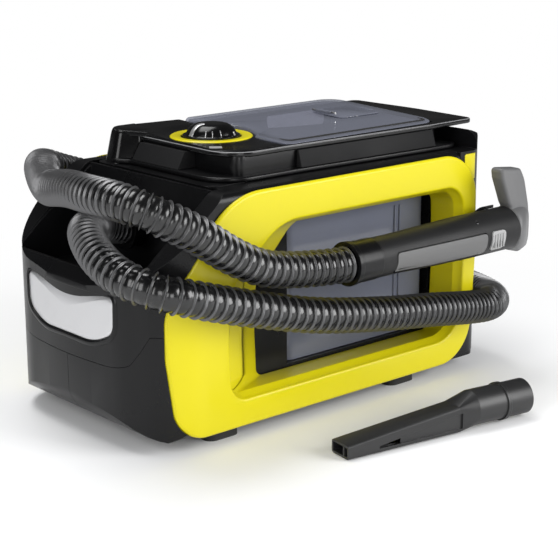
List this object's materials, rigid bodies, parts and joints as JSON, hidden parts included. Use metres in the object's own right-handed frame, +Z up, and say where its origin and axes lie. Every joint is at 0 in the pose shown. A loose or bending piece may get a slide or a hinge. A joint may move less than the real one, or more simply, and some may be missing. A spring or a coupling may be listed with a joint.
{
  "type": "spot extractor",
  "caption": "Portable spray-extraction cleaner with yellow side frames, clear lift-out tanks, a coiled ribbed suction hose, a hand wand and a loose crevice nozzle.",
  "frame": {"origin": "on the floor, at the centre of the middle foot, on the machine's centre plane", "axes": "+X towards the battery end, +Z up, the wand hangs on the -Y side"},
  "size_m": [0.5308, 0.4358, 0.2823],
  "materials": {
    "yellow_plastic": "glossy",
    "casing_black": "satin",
    "grip_grey": "fine grained",
    "badge_silver": "satin silver",
    "hose_black": "glossy, ribbed",
    "wand_grey": "satin",
    "inlay_grey": "satin",
    "button_grey": "satin",
    "nozzle_grey": "satin",
    "clear_tank": "clear moulded plastic",
    "clear_lid": "clear moulded plastic",
    "rubber": "matte",
    "steel": "brushed",
    "motor_steel": "satin",
    "board_green": "satin",
    "cell_blue": "shrink wrap",
    "float_white": "satin",
    "cage_yellow": "satin",
    "tube_clear": "milky silicone"
  },
  "bodies": {
    "machine": {"base_pan": "casing_black", "rubber_feet": "rubber", "lower_shell_left": "casing_black", "lower_shell_right": "casing_black", "upper_front_shell": "casing_black", "hose_tray": "casing_black", "badge_plate": "badge_silver", "side_frame_left": "yellow_plastic", "side_frame_right": "yellow_plastic", "main_chassis": "casing_black", "tower_housing": "casing_black", "top_deck": "casing_black", "knob_ring": "yellow_plastic", "carry_rim": "casing_black", "grip_inlays": "grip_grey", "rear_housing": "casing_black", "bay_trims": "yellow_plastic", "battery_terminals": "steel", "exhaust_grille": "casing_black", "casing_screws": "steel", "hose_hook": "casing_black", "suction_port": "casing_black", "hose": "hose_black", "hose_cuff": "casing_black", "wand_shell_near": "wand_grey", "wand_shell_far": "wand_grey", "wand_clip": "casing_black", "trigger_pin": "steel", "motor_can": "motor_steel", "motor_mount": "rubber", "shaft_bearings": "steel", "fan_housing": "casing_black", "pump_body": "casing_black", "water_tubes": "tube_clear", "control_switch": "casing_black", "circuit_board": "board_green"},
    "selector_knob": {"knob": "casing_black", "knob_pointer": "badge_silver", "knob_shaft": "steel"},
    "fresh_water_tank": {"fresh_tank": "clear_tank", "fresh_lid": "clear_lid", "lid_seal": "rubber", "outlet_valve": "casing_black", "flap_pin": "steel"},
    "flap": {"filler_flap": "clear_lid"},
    "dirty_water_tank": {"recovery_tank": "clear_tank", "recovery_lid": "casing_black", "recovery_seal": "rubber", "float_cage": "cage_yellow"},
    "float": {"float_ball": "float_white"},
    "battery": {"battery_case": "casing_black", "battery_cells": "cell_blue"},
    "battery_release": {"battery_button": "yellow_plastic"},
    "spray_trigger": {"trigger": "inlay_grey"},
    "nozzle_release": {"nozzle_button": "button_grey"},
    "floor_head": {"upholstery_nozzle": "nozzle_grey"},
    "crevice_tool": {"crevice_nozzle": "nozzle_grey"},
    "rotor": {"motor_shaft": "steel", "impeller": "badge_silver"}
  },
  "joints": [
    {"name": "knob_turn", "type": "hinge", "parent": "machine", "child": "selector_knob", "pos_m": [-0.035, 0, 0.268], "axis": [0, 0, 1], "range_deg": [-45, 45]},
    {"name": "fresh_tank_lift", "type": "slide", "parent": "machine", "child": "fresh_water_tank", "axis": [0, 0, 1], "range_m": [0, 0.32]},
    {"name": "filler_flap_turn", "type": "hinge", "parent": "fresh_water_tank", "child": "flap", "pos_m": [0.117, 0, 0.2742], "axis": [0, -1, 0], "range_deg": [0, 100]},
    {"name": "recovery_tank_lift", "type": "slide", "parent": "machine", "child": "dirty_water_tank", "axis": [0, 0, 1], "range_m": [0, 0.24]},
    {"name": "float_rise", "type": "slide", "parent": "dirty_water_tank", "child": "float", "axis": [0, 0, 1], "range_m": [0, 0.012]},
    {"name": "battery_slide", "type": "slide", "parent": "machine", "child": "battery", "axis": [1, 0, 0], "range_m": [0, 0.06]},
    {"name": "battery_button_press", "type": "slide", "parent": "battery", "child": "battery_release", "axis": [-1, 0, 0], "range_m": [0, 0.003]},
    {"name": "trigger_squeeze", "type": "hinge", "parent": "machine", "child": "spray_trigger", "pos_m": [0.172, -0.1675, 0.158], "axis": [0, 0, -1], "range_deg": [0, 4]},
    {"name": "nozzle_button_press", "type": "slide", "parent": "machine", "child": "nozzle_release", "axis": [0, 1, 0], "range_m": [0, 0.003]},
    {"name": "nozzle_pull", "type": "slide", "parent": "machine", "child": "floor_head", "axis": [1, 0, 0], "range_m": [0, 0.05]},
    {"name": "crevice_tool_lift", "type": "slide", "parent": "machine", "child": "crevice_tool", "axis": [0, 0, 1], "range_m": [0, 0.12]},
    {"name": "rotor_spin", "type": "hinge", "parent": "machine", "child": "rotor", "pos_m": [-0.098, 0.022, 0.08], "axis": [0, 0, 1], "continuous": true}
  ],
  "couplings": [
    {"joint": "recovery_tank_lift", "follows": "fresh_tank_lift", "ratio": 0.72}
  ]
}
